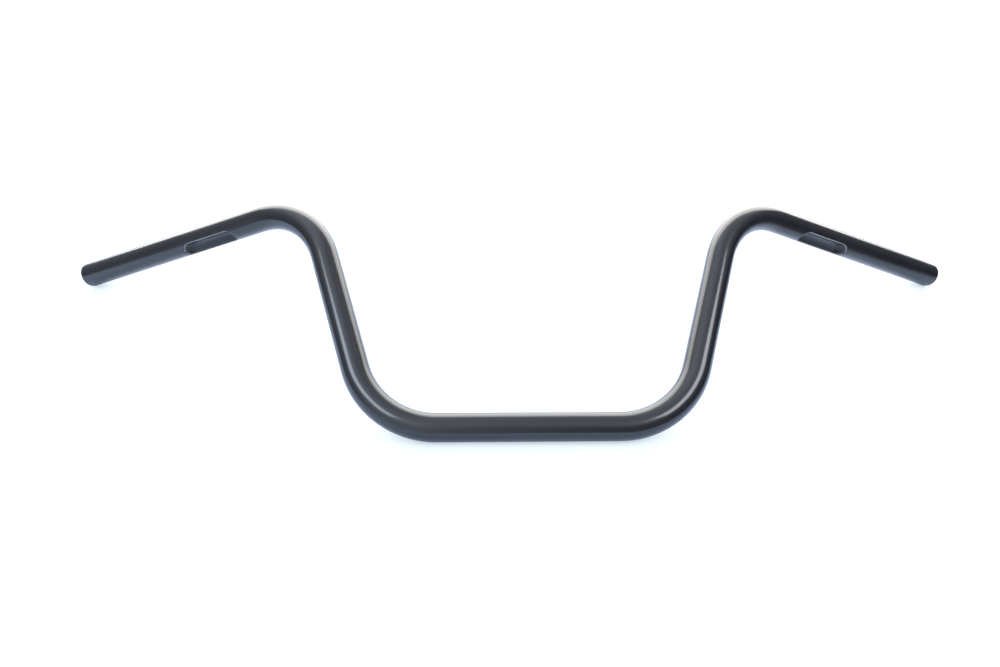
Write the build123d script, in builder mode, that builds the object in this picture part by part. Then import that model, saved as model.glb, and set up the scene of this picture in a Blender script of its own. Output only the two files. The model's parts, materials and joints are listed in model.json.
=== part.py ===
from build123d import *
import os
from math import cos, radians, sin, sqrt, tan

# Ape hanger handlebar: one steel tube with four bends, and a wiring dimple pressed into each grip.
# It lies as it comes to rest on a table, on its clamp section and on the rims of its two ends.
# X runs along the clamp section, Y from there towards the grips and Z up.
# The origin is the middle of the clamp section's axis.

# Tube
TUBE_DIAMETER = 25.4
TUBE_WALL = 2.5
RIM_CHAMFER = 0.7

# Straights and bends along the tube's centreline, angles in degrees
CLAMP_LENGTH = 158.5
BEND_RADIUS = 76.2
LEG_LENGTH = 116.0
LEG_SPLAY = 17.0
GRIP_LENGTH = 233.5
GRIP_PULLBACK = 26.5
GRIP_DROP = 2.4

# Wiring dimple: a groove pressed by a round-nosed punch, turned from under the grip to its front
DIMPLE_FROM_END = 173.0
DIMPLE_LENGTH = 64.0
DIMPLE_DEPTH = 7.0
DIMPLE_TURN = 6.0
PUNCH_RADIUS = 9.0
LIP_RADIUS = 3.5

tube_radius = TUBE_DIAMETER / 2
bore_radius = tube_radius - TUBE_WALL
rim_chamfer = min(RIM_CHAMFER, TUBE_WALL / 3)
punch_height = tube_radius - DIMPLE_DEPTH + PUNCH_RADIUS
punch_straight = DIMPLE_LENGTH - 2 * sqrt(PUNCH_RADIUS**2 - (PUNCH_RADIUS - DIMPLE_DEPTH) ** 2)


def lying(across: float, rise: float, back: float, tilt: float) -> Vector:
    """A place or direction of the upright bar, once its legs are tilted up from the table."""
    turn = radians(tilt)
    return Vector(across, rise * cos(turn) + back * sin(turn), rise * sin(turn) - back * cos(turn))


def half_route(tilt: float) -> list[Vector]:
    """Corners of the right half's centreline: the lower bend, the upper bend and the tube's end."""
    splay, drop, pullback = radians(LEG_SPLAY), radians(GRIP_DROP), radians(GRIP_PULLBACK)
    leg = lying(sin(splay), cos(splay), 0, tilt)
    grip = lying(cos(drop) * cos(pullback), -sin(drop), cos(drop) * sin(pullback), tilt)
    lower_tangent = BEND_RADIUS * tan(radians(90 - LEG_SPLAY) / 2)
    upper_tangent = BEND_RADIUS * tan(radians(leg.get_angle(grip)) / 2)
    lower_corner = Vector(CLAMP_LENGTH / 2 + lower_tangent, 0, 0)
    upper_corner = lower_corner + leg * (lower_tangent + LEG_LENGTH + upper_tangent)
    return [lower_corner, upper_corner, upper_corner + grip * (upper_tangent + GRIP_LENGTH)]


def end_height(tilt: float) -> float:
    """Height of the end's chamfered rim above the table that the clamp section lies on."""
    corner, end = half_route(tilt)[1:]
    slope = (end - corner).normalized().Z
    steep = sqrt(1 - slope**2)
    face_edge = end.Z - (tube_radius - rim_chamfer) * steep
    wall_edge = end.Z - rim_chamfer * slope - tube_radius * steep
    return min(face_edge, wall_edge) + tube_radius


def rest_tilt() -> float:
    """Tilt of the legs at which the clamp section and both ends touch the table."""
    low, high = 0.0, 90.0
    for _ in range(50):
        middle = (low + high) / 2
        if end_height(middle) < 0:
            low = middle
        else:
            high = middle
    return high


tilt = rest_tilt()

# Grip along Z, from the bend to the tube's end, with its dimple on the side towards X
punch = Plane((punch_height, 0, GRIP_LENGTH - DIMPLE_FROM_END), x_dir=(0, 0, 1), z_dir=(0, 1, 0))
punch_axis = Axis(punch.origin, punch.x_dir)

# The hollow in the grip: a round bore, less the pressed wall that stands in behind the dimple
with BuildPart() as grip_hollow:
    with BuildSketch():
        Circle(bore_radius)
    extrude(amount=GRIP_LENGTH)
    with BuildSketch(punch):
        SlotCenterToCenter(punch_straight, 2 * (PUNCH_RADIUS + TUBE_WALL))
        split(bisect_by=Plane.XZ, keep=Keep.BOTTOM)
    revolve(axis=punch_axis, mode=Mode.SUBTRACT)

# The lip is tangent all round its loop, so rounding its curved ends rounds its straight sides too
with BuildPart() as grip:
    with BuildSketch():
        Circle(tube_radius)
    extrude(amount=GRIP_LENGTH)
    with BuildSketch(punch):
        SlotCenterToCenter(punch_straight, 2 * PUNCH_RADIUS)
        split(bisect_by=Plane.XZ, keep=Keep.BOTTOM)
    revolve(axis=punch_axis, mode=Mode.SUBTRACT)
    fillet(grip.edges().filter_by(GeomType.BSPLINE).sort_by(Axis.Z), LIP_RADIUS)
    add(grip_hollow.part, mode=Mode.SUBTRACT)
    chamfer(grip.faces().sort_by(Axis.Z)[-1].edges(), rim_chamfer)

# Centreline of the right half, from the middle of the clamp section to the tube's end
with BuildLine() as centreline:
    FilletPolyline((0, 0, 0), *half_route(tilt), radius=BEND_RADIUS)

# Where the grip goes: Z along it and X out of its dimple
outward = centreline.line % 1
underside = lying(0, -1, 0, tilt)
underside = (underside - outward * underside.dot(outward)).normalized()
facing = underside.rotate(Axis((0, 0, 0), outward), -DIMPLE_TURN)
grip_start = Plane(origin=centreline.line @ 1 - outward * GRIP_LENGTH, x_dir=facing, z_dir=outward)

# The bent tube up to the grip, the grip on its end, and the same again on the other side
with BuildPart() as handlebar:
    with BuildSketch(Plane.YZ):
        Circle(tube_radius)
        Circle(bore_radius, mode=Mode.SUBTRACT)
    sweep(path=Wire(centreline.edges().sort_by(Axis.X)[:-1]))
    with Locations(grip_start.location):
        add(grip.part)
    mirror(about=Plane.YZ)
handlebar.part.label = "handlebar"

os.makedirs("parts", exist_ok=True)
export_step(handlebar.part, "parts/handlebar.step")
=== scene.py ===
"""Ape hanger handlebar lying on a white table: one bent steel tube with a wiring dimple in each grip.

Sizes are in metres and angles in degrees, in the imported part's frame.
"""

import json
import logging
import math
from dataclasses import dataclass, field
from enum import Enum
from typing import Any, Iterator, Mapping, Optional, Sequence, Union

import bmesh
import bpy
from mathutils import Matrix, Vector


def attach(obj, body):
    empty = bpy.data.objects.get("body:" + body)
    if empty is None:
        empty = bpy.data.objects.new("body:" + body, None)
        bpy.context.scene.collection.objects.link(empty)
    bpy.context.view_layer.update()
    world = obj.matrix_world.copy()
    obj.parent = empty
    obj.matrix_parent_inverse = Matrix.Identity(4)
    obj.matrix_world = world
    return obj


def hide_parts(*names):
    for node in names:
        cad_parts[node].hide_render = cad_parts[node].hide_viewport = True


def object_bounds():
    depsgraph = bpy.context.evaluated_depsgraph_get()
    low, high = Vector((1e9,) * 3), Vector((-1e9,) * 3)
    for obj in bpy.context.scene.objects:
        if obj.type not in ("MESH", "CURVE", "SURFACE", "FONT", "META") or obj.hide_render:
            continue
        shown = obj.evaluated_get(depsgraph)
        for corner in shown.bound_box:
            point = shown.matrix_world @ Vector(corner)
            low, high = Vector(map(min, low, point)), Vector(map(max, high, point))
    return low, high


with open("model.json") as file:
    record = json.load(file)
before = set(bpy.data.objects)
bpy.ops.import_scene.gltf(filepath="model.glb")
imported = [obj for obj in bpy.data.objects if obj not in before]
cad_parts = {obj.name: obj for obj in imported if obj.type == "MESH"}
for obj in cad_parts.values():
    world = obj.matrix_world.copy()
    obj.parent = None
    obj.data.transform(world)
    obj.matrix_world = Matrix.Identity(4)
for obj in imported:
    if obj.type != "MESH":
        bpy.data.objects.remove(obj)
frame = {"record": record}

CAD_BOX = [list(corner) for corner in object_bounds()]
LOG = logging.getLogger("handlebar")

Colour = tuple[float, float, float, float]
Place = tuple[float, float, float]
Span = tuple[float, float]

WHITE: Colour = (1.0, 1.0, 1.0, 1.0)
MM_PER_M = 1000
NOISE_MIDDLE = 0.5
UNIT_GRID = 1.0


class Ray(Enum):
    """The kinds of ray that see the table and the room differently."""

    CAMERA = "Is Camera Ray"
    GLOSSY = "Is Glossy Ray"


class Mark(Enum):
    """Values that the tube's mesh carries for its finish, for the painted highlight along the dimple's lip
    and for the painted shade in its recess.
    """

    BORE = "bore_depth"
    RIM = "rim_wear"
    # Painted highlight: a pale line along the dimple's lip
    LIP_HIGHLIGHT = "lip_painted_highlight"
    # The dimple's recess, where the coat's gloss is cut, partly a duller coat and partly painted shade
    RECESS = "dimple_recess"


class Signal:
    """A node's output that takes part in Python expressions."""

    def __init__(self, graph: "Graph", socket: bpy.types.NodeSocket) -> None:
        """Keeps the socket and the graph that it belongs to."""
        self.graph = graph
        self.socket = socket

    @property
    def is_vector(self) -> bool:
        """Whether the output is a vector or a colour."""
        return self.socket.type in {"VECTOR", "RGBA"}

    def also(self, output: str) -> "Signal":
        """Another output of the same node."""
        return Signal(self.graph, pick(self.socket.node.outputs, output))

    def math(self, operation: str, *others: "Operand") -> "Signal":
        """The result of a Math or Vector Math node on this output and others."""
        return self.graph.math(operation, self, *others)

    def __add__(self, other: "Operand") -> "Signal":
        """This output plus another."""
        return self.graph.math("ADD", self, other)

    def __radd__(self, other: "Operand") -> "Signal":
        """Another value plus this output."""
        return self.graph.math("ADD", other, self)

    def __sub__(self, other: "Operand") -> "Signal":
        """This output less another."""
        return self.graph.math("SUBTRACT", self, other)

    def __rsub__(self, other: "Operand") -> "Signal":
        """Another value less this output."""
        return self.graph.math("SUBTRACT", other, self)

    def __mul__(self, other: "Operand") -> "Signal":
        """This output times another."""
        return self.graph.math("MULTIPLY", self, other)

    def __rmul__(self, other: "Operand") -> "Signal":
        """Another value times this output."""
        return self.graph.math("MULTIPLY", other, self)

    def __truediv__(self, other: "Operand") -> "Signal":
        """This output divided by another."""
        return self.graph.math("DIVIDE", self, other)


Operand = Union[Signal, float, str, Sequence[float]]


def pick(sockets: bpy.types.bpy_prop_collection, key: Union[str, int]) -> bpy.types.NodeSocket:
    """Finds a socket that is in use.

    Args:
        sockets: A node's inputs or outputs.
        key: The socket's name, or its place among all of them.

    Returns:
        The first socket of that name that the node's settings leave in use, or the one at that place.
    """
    if isinstance(key, int):
        return sockets[key]
    return next(s for s in sockets if s.name == key and s.enabled)


class Graph:
    """A node tree as it is made."""

    def __init__(self, tree: bpy.types.NodeTree) -> None:
        """Starts from an empty tree."""
        self.tree = tree
        tree.nodes.clear()

    def feed(self, socket: bpy.types.NodeSocket, value: Operand) -> None:
        """Links an output to a socket, or sets the socket's own value.

        Args:
            socket: A node's input.
            value: The output or the value.
        """
        if isinstance(value, Signal):
            self.tree.links.new(value.socket, socket)
        else:
            socket.default_value = value

    def node(
        self,
        kind: str,
        settings: Optional[Mapping[str, Any]] = None,
        inputs: Optional[Mapping[Union[str, int], Operand]] = None,
        output: Optional[str] = None,
    ) -> Signal:
        """Adds a node.

        Args:
            kind: The node's type.
            settings: Its properties, set before its sockets.
            inputs: Values or links of its sockets.
            output: The output to return, or none for the first one in use.

        Returns:
            The chosen output.
        """
        made = self.tree.nodes.new(kind)
        for name, value in (settings or {}).items():
            setattr(made, name, value)
        for key, value in (inputs or {}).items():
            self.feed(pick(made.inputs, key), value)
        chosen = pick(made.outputs, output) if output else next(s for s in made.outputs if s.enabled)
        return Signal(self, chosen)

    def close(self, kind: str, result: Signal) -> None:
        """Leads a shader or a geometry to an output node of a type."""
        self.feed(self.tree.nodes.new(kind).inputs[0], result)

    def math(self, operation: str, *values: Operand) -> Signal:
        """Adds a Math node, or a Vector Math node where a value is a vector.

        Args:
            operation: The node's operation.
            values: Outputs or numbers, in the node's order.

        Returns:
            The node's result.
        """
        vectors = [isinstance(v, Signal) and v.is_vector for v in values]
        if not any(vectors):
            return self.node("ShaderNodeMath", {"operation": operation}, dict(enumerate(values)))
        if operation == "MULTIPLY" and not all(vectors):
            vector, number = values if vectors[0] else reversed(values)
            return self.node("ShaderNodeVectorMath", {"operation": "SCALE"}, {0: vector, "Scale": number})
        return self.node("ShaderNodeVectorMath", {"operation": operation}, dict(enumerate(values)))

    def split(self, vector: Signal) -> tuple[Signal, Signal, Signal]:
        """The three parts of a vector."""
        x = self.node("ShaderNodeSeparateXYZ", inputs={"Vector": vector}, output="X")
        return x, x.also("Y"), x.also("Z")

    def blend(self, low: Operand, high: Operand, factor: Operand) -> Signal:
        """A colour between two others."""
        settings = {"data_type": "RGBA", "clamp_factor": True}
        return self.node("ShaderNodeMix", settings, {"Factor": factor, "A": low, "B": high}, "Result")

    def between(self, low: Signal, high: Signal, factor: Signal) -> Signal:
        """A shader between two others."""
        return self.node("ShaderNodeMixShader", inputs={0: factor, 1: low, 2: high})

    def ease(self, value: Operand, span: Span) -> Signal:
        """A smooth rise from 0 to 1 as a value goes from a span's start to its stop.

        Args:
            value: The value.
            span: The start and the stop, which may be the lower one.

        Returns:
            The rise.
        """
        settings = {"interpolation_type": "SMOOTHSTEP", "clamp": True}
        inputs = {"Value": value, "From Min": span[0], "From Max": span[1]}
        return self.node("ShaderNodeMapRange", settings, inputs)


class ShapeGraph(Graph):
    """A Geometry Nodes tree with named inputs."""

    def __init__(self, name: str) -> None:
        """Starts a tree with a geometry output.

        Args:
            name: The tree's name.
        """
        super().__init__(bpy.data.node_groups.new(name, "GeometryNodeTree"))
        self.values: dict[str, Any] = {}
        self.entry = self.tree.nodes.new("NodeGroupInput")
        self.tree.interface.new_socket("Geometry", in_out="OUTPUT", socket_type="NodeSocketGeometry")

    def size(self, name: str, kind: str, value: Any = None) -> Signal:
        """Adds a named input.

        Args:
            name: The input's name.
            kind: What follows NodeSocket in its type.
            value: What the modifier sets it to.

        Returns:
            The input, for use in the tree.
        """
        socket = self.tree.interface.new_socket(name, in_out="INPUT", socket_type="NodeSocket" + kind)
        if value is not None:
            self.values[socket.identifier] = value
        return Signal(self, self.entry.outputs[name])

    def realise(self, source: bpy.types.Mesh, name: str) -> bpy.types.Object:
        """Runs the tree on a mesh.

        Args:
            source: The mesh that the tree starts from.
            name: The name of the piece.

        Returns:
            A plain mesh object with no modifier.
        """
        blank = bpy.data.objects.new(name + "_blank", source)
        bpy.context.scene.collection.objects.link(blank)
        modifier = blank.modifiers.new("shape", "NODES")
        modifier.node_group = self.tree
        for identifier, value in self.values.items():
            modifier[identifier] = value
        depsgraph = bpy.context.evaluated_depsgraph_get()
        mesh = bpy.data.meshes.new_from_object(blank.evaluated_get(depsgraph), depsgraph=depsgraph)
        mesh.name = name
        blank.modifiers.clear()
        bpy.data.objects.remove(blank)
        piece = bpy.data.objects.new(name, mesh)
        bpy.context.scene.collection.objects.link(piece)
        return piece


@dataclass(frozen=True)
class SatinBlackCoat:
    """Satin black powder coat on steel, with a faint orange peel, thin edges at the tube's ends, a painted
    highlight along the dimple's lip and painted shade in its recess.
    """

    name: str = "satin_black_coat"

    # Tones of the coat, of the painted highlight along the dimple's lip, and of the steel under it
    shadow_tone: Colour = (0.0085, 0.0088, 0.0100, 1.0)
    light_tone: Colour = (0.0115, 0.0118, 0.0135, 1.0)
    painted_lip_highlight: Colour = (0.420, 0.425, 0.435, 1.0)
    steel: Colour = (0.075, 0.072, 0.070, 1.0)

    # Gloss, and how it drifts over the surface and is cut in the dimple, partly a duller coat and partly
    # painted shade
    roughness: float = 0.30
    cloud_roughness: float = 0.07
    grain_roughness: float = 0.06
    specular: float = 0.35
    gloss: float = 0.8
    gloss_roughness: float = 0.10
    recess_dulling_and_shade: float = 0.8

    # Patterns: broad clouds, the orange peel and a fine grain
    cloud_scale: float = 16.0
    cloud_detail: float = 3.0
    cloud_tones: Span = (0.3, 0.7)
    peel_scale: float = 420.0
    peel_detail: float = 1.5
    grain_scale: float = 2600.0
    grain_detail: float = 1.0
    octave_falloff: float = 0.5
    bump_strength: float = 0.10
    bump_height: float = 0.00006
    grain_bump: float = 0.25

    # Bare steel: how far into the bore the coat thins out, and the chips on the rims
    overspray: Span = (0.018, 0.045)
    overspray_drift: float = 0.02
    steel_roughness: float = 0.15
    steel_metallic: float = 0.5
    chip_grain: float = 1.6
    chip_cloud: float = 1.2
    chip_edge: Span = (0.95, 1.15)
    chip_strength: float = 0.6

    def material(self) -> bpy.types.Material:
        """Builds the finish.

        Returns:
            The coat's material.
        """
        material = bpy.data.materials.new(self.name)
        material.use_nodes = True
        graph = Graph(material.node_tree)
        place = graph.node("ShaderNodeTexCoord", output="Object")
        cloud = self.noise(graph, place, self.cloud_scale, self.cloud_detail)
        peel = self.noise(graph, place, self.peel_scale, self.peel_detail)
        grain = self.noise(graph, place, self.grain_scale, self.grain_detail)
        cloud_drift = cloud - NOISE_MIDDLE
        grain_drift = grain - NOISE_MIDDLE
        depth, wear, lip, recess = (self.carried(graph, mark) for mark in Mark)

        bare = graph.ease(depth + cloud_drift * self.overspray_drift, self.overspray)
        chips = wear + grain_drift * self.chip_grain + cloud_drift * self.chip_cloud
        chips = graph.ease(chips, self.chip_edge) * self.chip_strength
        coat = graph.blend(self.shadow_tone, self.light_tone, graph.ease(cloud, self.cloud_tones))
        # Painted highlight: the pale line along the dimple's lip
        coat = graph.blend(coat, self.painted_lip_highlight, lip)
        roughness = self.roughness + cloud_drift * self.cloud_roughness + grain_drift * self.grain_roughness
        bump = graph.node(
            "ShaderNodeBump",
            inputs={
                "Strength": self.bump_strength,
                "Distance": self.bump_height,
                "Height": peel + grain * self.grain_bump,
            },
        )
        surface = graph.node(
            "ShaderNodeBsdfPrincipled",
            inputs={
                "Base Color": graph.blend(coat, self.steel, bare.math("MAXIMUM", chips)),
                "Roughness": roughness + bare * self.steel_roughness,
                "Metallic": bare * self.steel_metallic,
                "Specular IOR Level": self.specular,
                # Gloss cut in the dimple's recess: partly a duller coat, partly painted shade
                "Coat Weight": self.gloss * (1.0 - bare) * (1.0 - recess * self.recess_dulling_and_shade),
                "Coat Roughness": self.gloss_roughness,
                "Normal": bump,
            },
        )
        graph.close("ShaderNodeOutputMaterial", surface)
        return material

    def noise(self, graph: Graph, place: Signal, scale: float, detail: float) -> Signal:
        """A noise pattern fixed to the piece."""
        inputs = {"Vector": place, "Scale": scale, "Detail": detail, "Roughness": self.octave_falloff}
        return graph.node("ShaderNodeTexNoise", {"noise_dimensions": "3D"}, inputs, "Fac")

    @staticmethod
    def carried(graph: Graph, mark: Mark) -> Signal:
        """A value that the tube's mesh carries."""
        return graph.node("ShaderNodeAttribute", {"attribute_name": mark.value}, output="Fac")


@dataclass(frozen=True)
class Mount:
    """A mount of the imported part."""

    place: Vector
    axis: Vector
    radius: float
    length: float

    @classmethod
    def named(cls, name: str) -> "Mount":
        """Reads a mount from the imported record.

        Args:
            name: The mount's name.

        Returns:
            The mount, in metres.
        """
        found = next(m for m in frame["record"]["mounts"] if m["name"] == name)
        dims = found["dims"]
        return cls(
            place=Vector(found["pos_m"]),
            axis=Vector(found["axis"]).normalized(),
            radius=dims["r_mm"] / MM_PER_M,
            length=dims["length_mm"] / MM_PER_M,
        )


@dataclass
class Centreline:
    """The right half of the tube's centreline, from the middle of the clamp section to the tube's end."""

    bend_radius: float = 0.0762
    settling_rounds: int = 60
    lower_corner: Vector = field(init=False)
    upper_corner: Vector = field(init=False)
    end: Vector = field(init=False)
    outward: Vector = field(init=False)
    leg: Vector = field(init=False)
    length: float = field(init=False)

    def __post_init__(self) -> None:
        """Settles the two corners, so that bends of one radius join the clamp section to the grip."""
        clamp, grip = Mount.named("clamp_section"), Mount.named("right_grip")
        self.end, self.outward = Mount.named("right_bar_end").place, grip.axis
        clamp_end = clamp.place + clamp.axis * clamp.length / 2
        grip_start = grip.place - grip.axis * grip.length / 2
        self.leg = (grip_start - clamp_end).normalized()
        for _ in range(self.settling_rounds):
            lower_turn, upper_turn = clamp.axis.angle(self.leg), self.leg.angle(grip.axis)
            lower_tangent = self.bend_radius * math.tan(lower_turn / 2)
            upper_tangent = self.bend_radius * math.tan(upper_turn / 2)
            self.lower_corner = clamp_end + clamp.axis * lower_tangent
            self.upper_corner = grip_start - grip.axis * upper_tangent
            run = self.upper_corner - self.lower_corner
            self.leg = run.normalized()
        bends = self.bend_radius * (lower_turn + upper_turn)
        straights = clamp.length / 2 + run.length - lower_tangent - upper_tangent
        self.length = straights + bends + (self.end - grip_start).length


@dataclass(frozen=True)
class WallPoint:
    """Where a point of the tube's wall is, before the dimple is pressed and the tube is bent.

    Attributes:
        along: How far it is along the tube.
        level: How far its ring is from the axis.
        top: How high it is towards the dimple.
        side: How far it is to the side of the dimple.
    """

    along: Signal
    level: Signal
    top: Signal
    side: Signal


@dataclass(frozen=True)
class PressedPoint:
    """A point of the wall after pressing: its height, how much it takes of the painted highlight along the
    lip, and how much it lies in the recess, whose gloss is cut partly as painted shade.
    """

    height: Signal
    lip: Signal
    recess: Signal


@dataclass(frozen=True)
class WiringDimple:
    """The groove that a round-nosed punch presses into the grip for the switch wires."""

    from_end: float = 0.173
    length: float = 0.064
    depth: float = 0.007
    turn: float = 6.0
    punch_radius: float = 0.009

    # How widely the lip is rounded, and how steeply the groove's wall runs on past it
    lip: float = 0.0095
    run_out: float = 4.0

    # Where the painted highlight runs along the lip and where the recess's gloss is cut, partly as painted
    # shade, by how deep the groove would be there
    lip_line_place: float = -0.0022
    lip_highlight_width: float = 0.0013
    recess_start: float = 0.0035

    def facing(self, line: Centreline) -> Vector:
        """Works out which way the dimple faces.

        Args:
            line: The tube's centreline.

        Returns:
            The direction out of the dimple, square to the grip.
        """
        across = Vector((1, 0, 0))
        under = -(line.leg - across * line.leg.dot(across))
        square = (under - line.outward * under.dot(line.outward)).normalized()
        return Matrix.Rotation(math.radians(-self.turn), 3, line.outward) @ square

    def straight(self) -> float:
        """Length of the punch between the middles of its round ends."""
        return self.length - 2 * math.sqrt(self.punch_radius**2 - (self.punch_radius - self.depth) ** 2)

    def press(
        self, graph: ShapeGraph, line: Centreline, point: WallPoint, radius: Signal
    ) -> PressedPoint:
        """Presses the dimple into both walls of the tube, so that they keep their thickness.

        Args:
            graph: The tree.
            line: The tube's centreline.
            point: A point of the wall before pressing.
            radius: The tube's outer radius.

        Returns:
            The point after pressing.
        """
        middle = graph.size("Dimple middle", "Float", line.length - self.from_end)
        straight = graph.size("Dimple straight", "Float", self.straight())
        depth = graph.size("Dimple depth", "Float", self.depth)
        punch = graph.size("Punch radius", "Float", self.punch_radius)
        lip = graph.size("Lip rounding", "Float", self.lip)
        nose = punch + radius - point.level
        beyond = graph.math("MAXIMUM", (point.along - middle).math("ABSOLUTE") - straight / 2, 0.0)
        spread = point.side * point.side + beyond * beyond
        inside = graph.math("MAXIMUM", nose * nose - spread, 0.0).math("SQRT")
        outside = graph.math("MAXIMUM", spread.math("SQRT") - nose, 0.0)
        groove = radius - depth + punch - inside + outside * self.run_out
        pressed_in = point.top - groove
        from_lip = (pressed_in - self.lip_line_place).math("ABSOLUTE")
        return PressedPoint(
            height=graph.math("SMOOTH_MIN", point.top, groove, lip),
            # Painted highlight along the lip, and the recess, whose gloss is cut partly as painted shade
            lip=graph.ease(from_lip, (self.lip_highlight_width, 0.0)),
            recess=graph.ease(pressed_in, (self.lip_line_place, self.recess_start)),
        )


def spaced(start: float, stop: float, step: float) -> Iterator[float]:
    """Evenly spaced values from start up to, but not including, stop.

    Args:
        start: The first value.
        stop: The value to end before.
        step: About how far apart the values are.

    Returns:
        The values, one at a time.
    """
    count = max(1, round(abs(stop - start) / step))
    return (start + (stop - start) * i / count for i in range(count))


@dataclass
class Handlebar:
    """The bar: a tube that is cut, dimpled and bent, as it is in the making."""

    line: Centreline
    dimple: WiringDimple
    coat: SatinBlackCoat
    radius: float = field(init=False)
    bore: float = field(init=False)

    # Rounding of the end's two rims, and how far from the end they wear
    rim: float = 0.00089
    rim_zone: float = 0.00178

    # Points round a ring and how they crowd at the dimple, and steps along the skin, the bore and the rim
    around: int = 128
    crowding: float = 0.6
    skin_step: float = 0.005
    dimple_step: float = 0.0005
    bore_step: float = 0.009
    bulge_step: float = 0.0025
    dimple_margin: float = 0.008
    rim_steps: int = 5

    # Points of a bend, steps along the centreline and the gap that a seam closes
    bend_points: int = 64
    line_step: float = 0.002
    seam_gap: float = 0.00002

    def __post_init__(self) -> None:
        """Takes the tube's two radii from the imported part."""
        self.radius = Mount.named("clamp_section").radius
        self.bore = Mount.named("right_bar_end").radius

    def rows(self) -> list[tuple[float, float]]:
        """Lists the rings of the half tube before it is bent.

        Returns:
            How far along and how far from the axis each ring is, out along the skin, round the rim and
            back along the bore.
        """
        end = self.line.length
        edge = end - self.rim
        middle = end - self.dimple.from_end
        half = self.dimple.length / 2 + self.dimple_margin
        near, far = middle - half, middle + half
        skin = [
            *spaced(0.0, near, self.skin_step),
            *spaced(near, far, self.dimple_step),
            *spaced(far, edge, self.skin_step),
        ]
        bore = [
            *spaced(edge, far, self.bore_step),
            *spaced(far, near, self.bulge_step),
            *spaced(near, 0.0, self.bore_step),
        ]
        turns = [math.pi / 2 * i / self.rim_steps for i in range(self.rim_steps + 1)]
        rounding = [(self.rim * (1 - math.sin(t)), self.rim * (1 - math.cos(t))) for t in turns]
        return [
            *((along, self.radius) for along in skin),
            *((end - back, self.radius - down) for back, down in rounding),
            *((end - back, self.bore + up) for up, back in rounding),
            *((along, self.bore) for along in bore[1:]),
            (0.0, self.bore),
        ]

    def blank(self) -> bpy.types.Mesh:
        """Makes the rings the points of a mesh.

        Returns:
            The mesh, with along in X and from the axis in Z.
        """
        mesh = bpy.data.meshes.new("tube_rows")
        mesh.from_pydata([(along, 0.0, level) for along, level in self.rows()], [], [])
        return mesh

    def shape(self, count: int, coat: bpy.types.Material) -> ShapeGraph:
        """Builds the tree that dimples and bends the tube.

        Args:
            count: How many rings the half tube has.
            coat: The tube's material.

        Returns:
            The tree with its sizes.
        """
        graph = ShapeGraph("bent_dimpled_tube")
        blank = graph.size("Rows of rings", "Geometry")
        radius = graph.size("Tube radius", "Float", self.radius)
        length = graph.size("Half length", "Float", self.line.length)
        facing = graph.size("Dimple facing", "Vector", tuple(self.dimple.facing(self.line)))
        finish = graph.size("Coat", "Material", coat)

        grid, point = self.wall(graph, blank, count)
        pressed = self.dimple.press(graph, self.line, point, radius)
        marked = self.marked(graph, grid, point, pressed, radius, length)

        route = self.route(graph)
        centre = self.on_route(graph, route, point.along / length)
        angle = self.line_up(graph, self.on_route(graph, route, 1.0), facing)
        out, across = self.clock(graph, centre, angle)
        bent = graph.node(
            "GeometryNodeSetPosition",
            inputs={"Geometry": marked, "Position": centre + out * pressed.height + across * point.side},
        )
        graph.close("NodeGroupOutput", self.both_halves(graph, bent, finish))
        return graph

    def wall(self, graph: ShapeGraph, blank: Signal, count: int) -> tuple[Signal, WallPoint]:
        """Spreads the rows into the rings of a straight tube.

        Args:
            graph: The tree.
            blank: The rows of rings.
            count: How many rings there are.

        Returns:
            A grid with a point for each point of the wall, and where on the wall that is.
        """
        rows = graph.size("Ring count", "Int", count)
        around = graph.size("Points round a ring", "Int", self.around)
        grid = graph.node(
            "GeometryNodeMeshGrid",
            inputs={"Size X": UNIT_GRID, "Size Y": UNIT_GRID, "Vertices X": rows, "Vertices Y": around + 1},
        )
        place = graph.node("GeometryNodeInputPosition")
        lengthways, crossways, _ = graph.split(place)
        row = ((lengthways + UNIT_GRID / 2) * (rows - 1)).math("ROUND")
        ring = graph.node(
            "GeometryNodeSampleIndex",
            {"data_type": "FLOAT_VECTOR", "domain": "POINT"},
            {"Geometry": blank, "Value": place, "Index": row},
        )
        along, _, level = graph.split(ring)
        turn = crossways * math.tau
        angle = turn - turn.math("SINE") * self.crowding
        return grid, WallPoint(along, level, level * angle.math("COSINE"), level * angle.math("SINE"))

    def marked(
        self,
        graph: Graph,
        grid: Signal,
        point: WallPoint,
        pressed: PressedPoint,
        radius: Signal,
        length: Signal,
    ) -> Signal:
        """Keeps the values that the finish reads on the mesh.

        Args:
            graph: The tree.
            grid: The grid of the wall's points, before it is bent.
            point: A point of the wall before pressing.
            pressed: The point after pressing.
            radius: The tube's outer radius.
            length: The length of the half tube.

        Returns:
            The grid with the values.
        """
        from_end = length - point.along
        inside = graph.math("LESS_THAN", point.level, radius - self.rim_zone)
        outside = 1.0 - inside
        values = {
            Mark.BORE: inside * from_end,
            Mark.RIM: graph.ease(from_end, (self.rim_zone, 0.0)),
            # Painted highlight along the dimple's lip, and the recess, whose gloss is cut partly as painted
            # shade
            Mark.LIP_HIGHLIGHT: pressed.lip * outside,
            Mark.RECESS: pressed.recess * outside,
        }
        settings = {"data_type": "FLOAT", "domain": "POINT"}
        for mark, value in values.items():
            inputs = {"Geometry": grid, "Name": mark.value, "Value": value}
            grid = graph.node("GeometryNodeStoreNamedAttribute", settings, inputs)
        return grid

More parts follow.
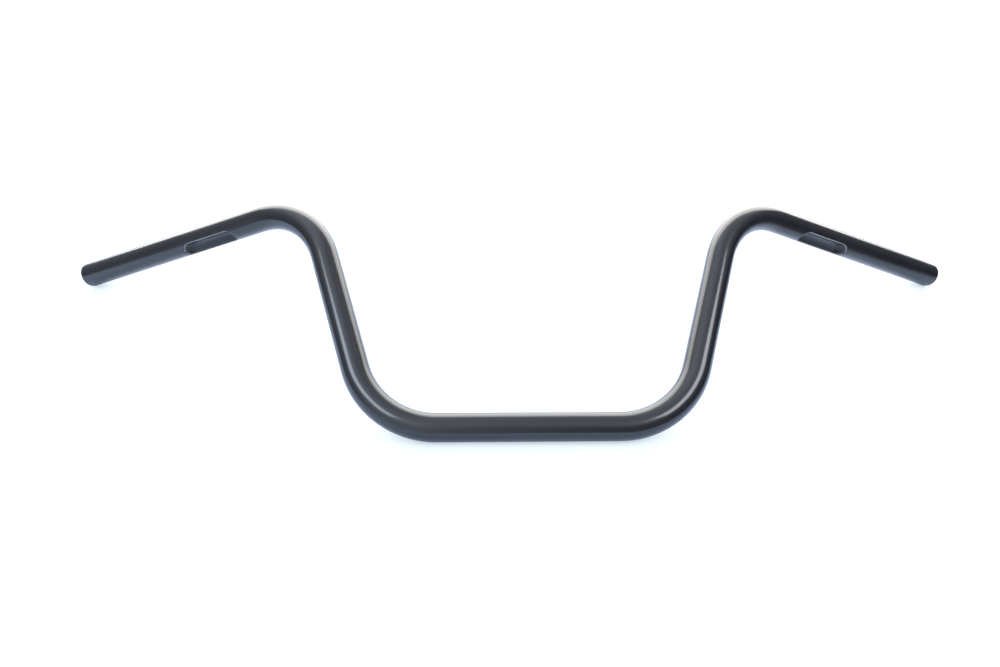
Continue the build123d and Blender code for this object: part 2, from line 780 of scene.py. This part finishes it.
    def route(self, graph: ShapeGraph) -> Signal:
        """Rounds the corners of the centreline with the bends.

        Args:
            graph: The tree.

        Returns:
            The centreline, in short steps.
        """
        lower = graph.size("Lower corner", "Vector", tuple(self.line.lower_corner))
        upper = graph.size("Upper corner", "Vector", tuple(self.line.upper_corner))
        end = graph.size("Tube end", "Vector", tuple(self.line.end))
        radius = graph.size("Bend radius", "Float", self.line.bend_radius)
        points = {"Point 1": (0.0, 0.0, 0.0), "Point 2": lower, "Point 3": upper, "Point 4": end}
        corners = graph.node("GeometryNodeCurvePrimitiveQuadrilateral", {"mode": "POINTS"}, points)
        opened = graph.node("GeometryNodeSetSplineCyclic", inputs={"Geometry": corners, "Cyclic": False})
        bends = {"Curve": opened, "Count": self.bend_points, "Radius": radius, "Limit Radius": False}
        rounded = graph.node("GeometryNodeFilletCurve", {"mode": "POLY"}, bends)
        steps = {"Curve": rounded, "Length": self.line_step}
        return graph.node("GeometryNodeResampleCurve", {"mode": "LENGTH"}, steps)

    @staticmethod
    def on_route(graph: Graph, route: Signal, share: Operand) -> Signal:
        """Finds a place on the centreline.

        Args:
            graph: The tree.
            route: The centreline.
            share: How far along it the place is, from 0 to 1.

        Returns:
            The place, whose node also gives the normal and the tangent there.
        """
        return graph.node(
            "GeometryNodeSampleCurve",
            {"mode": "FACTOR", "use_all_curves": True},
            {"Curves": route, "Factor": share},
            "Position",
        )

    @staticmethod
    def line_up(graph: Graph, end: Signal, facing: Signal) -> Signal:
        """Works out how far round the tube's end the dimple faces.

        Args:
            graph: The tree.
            end: The end of the centreline.
            facing: The direction out of the dimple.

        Returns:
            The angle, from the curve's normal.
        """
        normal, tangent = end.also("Normal"), end.also("Tangent")
        binormal = graph.math("CROSS_PRODUCT", tangent, normal)
        rise, run = (
            graph.node("ShaderNodeVectorMath", {"operation": "DOT_PRODUCT"}, {0: facing, 1: axis}, "Value")
            for axis in (binormal, normal)
        )
        return graph.math("ARCTAN2", rise, run)

    @staticmethod
    def clock(graph: Graph, centre: Signal, angle: Signal) -> tuple[Signal, Signal]:
        """Carries the dimple's facing along the tube without twist.

        Args:
            graph: The tree.
            centre: A place on the centreline.
            angle: How far round from the curve's normal the dimple faces.

        Returns:
            The directions there out of the dimple's side and across it.
        """
        normal, tangent = centre.also("Normal"), centre.also("Tangent")
        binormal = graph.math("CROSS_PRODUCT", tangent, normal)
        out = normal * angle.math("COSINE") + binormal * angle.math("SINE")
        return out, graph.math("CROSS_PRODUCT", tangent, out)

    def both_halves(self, graph: Graph, half: Signal, finish: Signal) -> Signal:
        """Joins the half tube to its mirror image, closes the seams and gives it its coat.

        Args:
            graph: The tree.
            half: The bent half tube.
            finish: The coat's material.

        Returns:
            The whole tube.
        """
        mirrored = graph.node("GeometryNodeTransform", inputs={"Geometry": half, "Scale": (-1.0, 1.0, 1.0)})
        turned = graph.node("GeometryNodeFlipFaces", inputs={"Mesh": mirrored})
        whole = graph.node("GeometryNodeJoinGeometry", inputs={"Geometry": half})
        graph.feed(whole.socket.node.inputs["Geometry"], turned)
        seams = {"Geometry": whole, "Distance": self.seam_gap}
        closed = graph.node("GeometryNodeMergeByDistance", inputs=seams)
        smooth = graph.node("GeometryNodeSetShadeSmooth", inputs={"Geometry": closed, "Shade Smooth": True})
        real = graph.node("GeometryNodeRealizeInstances", inputs={"Geometry": smooth})
        return graph.node("GeometryNodeSetMaterial", inputs={"Geometry": real, "Material": finish})

    def build(self) -> bpy.types.Object:
        """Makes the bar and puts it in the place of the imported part's node.

        Returns:
            The finished piece.
        """
        blank = self.blank()
        piece = self.shape(len(blank.vertices), self.coat.material()).realise(blank, "bent_tube")
        work = bmesh.new()
        work.from_mesh(piece.data)
        bmesh.ops.recalc_face_normals(work, faces=work.faces)
        work.to_mesh(piece.data)
        work.free()
        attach(piece, "root")
        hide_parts("handlebar")
        return piece


@dataclass(frozen=True)
class Softbox:
    """A flat soft lamp that points at a place."""

    name: str
    place: Place
    target: Place
    width: float
    height: float
    radiance: float
    colour: tuple[float, float, float]

    def build(self) -> bpy.types.Object:
        """Makes the lamp.

        Returns:
            The lamp.
        """
        data = bpy.data.lights.new(self.name, "AREA")
        data.shape, data.size, data.size_y = "RECTANGLE", self.width, self.height
        data.energy = self.radiance * math.pi * self.width * self.height
        data.color = self.colour
        lamp = bpy.data.objects.new(self.name, data)
        lamp.location = self.place
        lamp.rotation_euler = (Vector(self.target) - Vector(self.place)).to_track_quat("-Z", "Y").to_euler()
        bpy.context.scene.collection.objects.link(lamp)
        return lamp


@dataclass(frozen=True)
class Table:
    """The white table that the bar lies on."""

    height: float = CAD_BOX[0][2]
    width: float = 12.0
    matt: Colour = (0.82, 0.82, 0.82, 1.0)

    # In the bar's gloss: pale near the bar, and dark further right, left and in front on the right
    mirrored: Colour = (0.61, 0.70, 0.86, 1.0)
    mirrored_dark: Colour = (0.06, 0.06, 0.07, 1.0)
    dark_right: Span = (0.55, 0.85)
    dark_left: Span = (-0.75, -1.2)
    dark_front: Span = (0.14, 0.40)
    front_slant: float = 0.9

    # To the camera: a shadow on a pale light, which is white further from the bar
    seen: Colour = (0.42, 0.42, 0.42, 1.0)
    lift: Colour = (0.53, 0.59, 0.63, 1.0)
    whitening: Span = (0.75, 1.5)

    def build(self) -> bpy.types.Object:
        """Makes the table.

        Returns:
            The table.
        """
        half, z = self.width / 2, self.height
        mesh = bpy.data.meshes.new("table")
        corners = [(-half, -half, z), (half, -half, z), (half, half, z), (-half, half, z)]
        mesh.from_pydata(corners, [], [(0, 1, 2, 3)])
        mesh.materials.append(self.finish())
        table = bpy.data.objects.new("table", mesh)
        bpy.context.scene.collection.objects.link(table)
        return table

    def finish(self) -> bpy.types.Material:
        """Builds a white surface that keeps soft shadows, and that reflections show white near the bar.

        Returns:
            The table's material.
        """
        material = bpy.data.materials.new("white_table")
        material.use_nodes = True
        graph = Graph(material.node_tree)
        camera = graph.node("ShaderNodeLightPath", output=Ray.CAMERA.value)
        place = graph.node("ShaderNodeTexCoord", output="Object")
        matt = graph.node("ShaderNodeBsdfDiffuse", inputs={"Color": self.matt})
        unseen = graph.between(matt, self.in_gloss(graph, place), camera.also(Ray.GLOSSY.value))
        seen = graph.between(unseen, self.in_view(graph, place), camera)
        graph.close("ShaderNodeOutputMaterial", seen)
        return material

    def in_gloss(self, graph: Graph, place: Signal) -> Signal:
        """Builds what the bar's gloss shows of the table.

        Args:
            graph: The material's tree.
            place: A place on the table.

        Returns:
            The shader.
        """
        x, y, _ = graph.split(place)
        dark = graph.ease(x, self.dark_right).math("MAXIMUM", graph.ease(x, self.dark_left))
        dark = dark.math("MAXIMUM", graph.ease(x * self.front_slant - y, self.dark_front))
        mirrored = graph.blend(self.mirrored, self.mirrored_dark, dark)
        return graph.node(
            "ShaderNodeBsdfPrincipled",
            inputs={"Base Color": mirrored, "Roughness": 1.0, "Specular IOR Level": 0.0},
        )

    def in_view(self, graph: Graph, place: Signal) -> Signal:
        """Builds what the camera sees of the table.

        Args:
            graph: The material's tree.
            place: A place on the table.

        Returns:
            The shader.
        """
        away = graph.node("ShaderNodeVectorMath", {"operation": "LENGTH"}, {0: place}, "Value")
        pale = graph.blend(self.lift, WHITE, graph.ease(away, self.whitening))
        lift = graph.node("ShaderNodeEmission", inputs={"Color": pale, "Strength": 1.0})
        shadowed = graph.node("ShaderNodeBsdfDiffuse", inputs={"Color": self.seen})
        return graph.node("ShaderNodeAddShader", inputs={0: shadowed, 1: lift})


@dataclass(frozen=True)
class Glow:
    """Light from one part of the room: its level on the right and on the left, and where it changes."""

    right: float
    left: float
    change: Span


@dataclass(frozen=True)
class Room:
    """The room round the table: white to the camera, bright overhead and dim at the sides."""

    colour: Colour = (0.89, 0.97, 1.14, 1.0)
    overhead: Glow = Glow(right=0.70, left=1.35, change=(0.3, -0.3))
    halfway: Glow = Glow(right=0.20, left=0.40, change=(0.3, -0.3))
    side: Glow = Glow(right=0.04, left=0.26, change=(0.5, -0.8))
    front: Glow = Glow(right=0.16, left=1.0, change=(0.2, -0.15))

    # Where the light goes from the sides to halfway up, to the front and to overhead
    halfway_rise: Span = (0.1, 0.45)
    front_turn: Span = (-0.3, -0.8)
    overhead_rise: Span = (0.45, 0.9)

    def build(self) -> bpy.types.World:
        """Makes the room and sets it as the scene's world.

        Returns:
            The world.
        """
        world = bpy.data.worlds.new("studio_room")
        bpy.context.scene.world = world
        world.use_nodes = True
        graph = Graph(world.node_tree)
        x, y, z = graph.split(graph.node("ShaderNodeTexCoord", output="Generated"))
        side, halfway, front, overhead = (
            self.light(graph, x, glow) for glow in (self.side, self.halfway, self.front, self.overhead)
        )
        around = graph.between(side, halfway, graph.ease(z, self.halfway_rise))
        around = graph.between(around, front, graph.ease(y, self.front_turn))
        lit = graph.between(around, overhead, graph.ease(z, self.overhead_rise))
        white = graph.node("ShaderNodeBackground", inputs={"Color": WHITE, "Strength": 1.0})
        camera = graph.node("ShaderNodeLightPath", output=Ray.CAMERA.value)
        graph.close("ShaderNodeOutputWorld", graph.between(lit, white, camera))
        return world

    def light(self, graph: Graph, x: Signal, glow: Glow) -> Signal:
        """Builds the light from one part of the room.

        Args:
            graph: The world's tree.
            x: How far to the right a direction points.
            glow: The levels of that part.

        Returns:
            The shader.
        """
        right, left = (
            graph.node("ShaderNodeBackground", inputs={"Color": self.colour, "Strength": level})
            for level in (glow.right, glow.left)
        )
        return graph.between(right, left, graph.ease(x, glow.change))


@dataclass(frozen=True)
class Studio:
    """The table, the room and the lamps."""

    table: Table = Table()
    room: Room = Room()
    lamps: tuple[Softbox, ...] = (
        Softbox(
            name="back_box",
            place=(0.075, 1.45, 0.68),
            target=(0.075, 0.0, 0.0),
            width=3.75,
            height=1.3,
            radiance=4.2,
            colour=(1.0, 0.98, 0.95),
        ),
        Softbox(
            name="left_box",
            place=(-0.76, -0.40, 0.95),
            target=(-0.17, 0.05, 0.0),
            width=0.85,
            height=0.44,
            radiance=5.5,
            colour=(0.86, 0.96, 1.10),
        ),
        Softbox(
            name="right_box",
            place=(0.82, -0.36, 0.97),
            target=(0.17, 0.05, 0.0),
            width=0.80,
            height=0.50,
            radiance=6.5,
            colour=(0.92, 0.98, 1.06),
        ),
    )

    def build(self) -> None:
        """Makes the table, the room and the lamps, and shows colours as they are."""
        self.table.build()
        self.room.build()
        for lamp in self.lamps:
            lamp.build()
        bpy.context.scene.view_settings.view_transform = "Standard"


@dataclass(frozen=True)
class PhotoCamera:
    """The camera where the photograph was taken."""

    place: Place = (-0.04676, -0.50794, 0.47325)
    yaw: float = 2.2607
    pitch: float = -36.2717
    roll: float = 1.2100
    focal_pixels: float = 800.0
    frame_pixels: float = 1000.0
    sensor_mm: float = 36.0

    def build(self) -> bpy.types.Object:
        """Makes the camera and sets it as the scene's.

        Returns:
            The camera.
        """
        yaw, pitch, roll = (math.radians(a) for a in (self.yaw, self.pitch, self.roll))
        ahead = Vector((math.sin(yaw) * math.cos(pitch), math.cos(yaw) * math.cos(pitch), math.sin(pitch)))
        level = ahead.cross(Vector((0, 0, 1))).normalized()
        above = level.cross(ahead)
        right = level * math.cos(roll) + above * math.sin(roll)
        up = above * math.cos(roll) - level * math.sin(roll)
        data = bpy.data.cameras.new("photo_camera")
        data.sensor_fit, data.sensor_width = "HORIZONTAL", self.sensor_mm
        data.lens = self.sensor_mm * self.focal_pixels / self.frame_pixels
        camera = bpy.data.objects.new("photo_camera", data)
        turn = Matrix((right, up, -ahead)).transposed().to_4x4()
        camera.matrix_world = Matrix.Translation(self.place) @ turn
        bpy.context.scene.collection.objects.link(camera)
        bpy.context.scene.camera = camera
        return camera


def main() -> None:
    """Builds the bar, the studio and the camera."""
    logging.basicConfig(level=logging.INFO, format="%(name)s: %(message)s")
    line = Centreline()
    bar = Handlebar(line, WiringDimple(), SatinBlackCoat()).build()
    LOG.info("%s: %d faces on %.4f m of half tube", bar.name, len(bar.data.polygons), line.length)
    Studio().build()
    LOG.info("table, room and lamps")
    camera = PhotoCamera().build()
    LOG.info("%s: lens %.1f mm", camera.name, camera.data.lens)


if __name__ == "__main__":
    main()
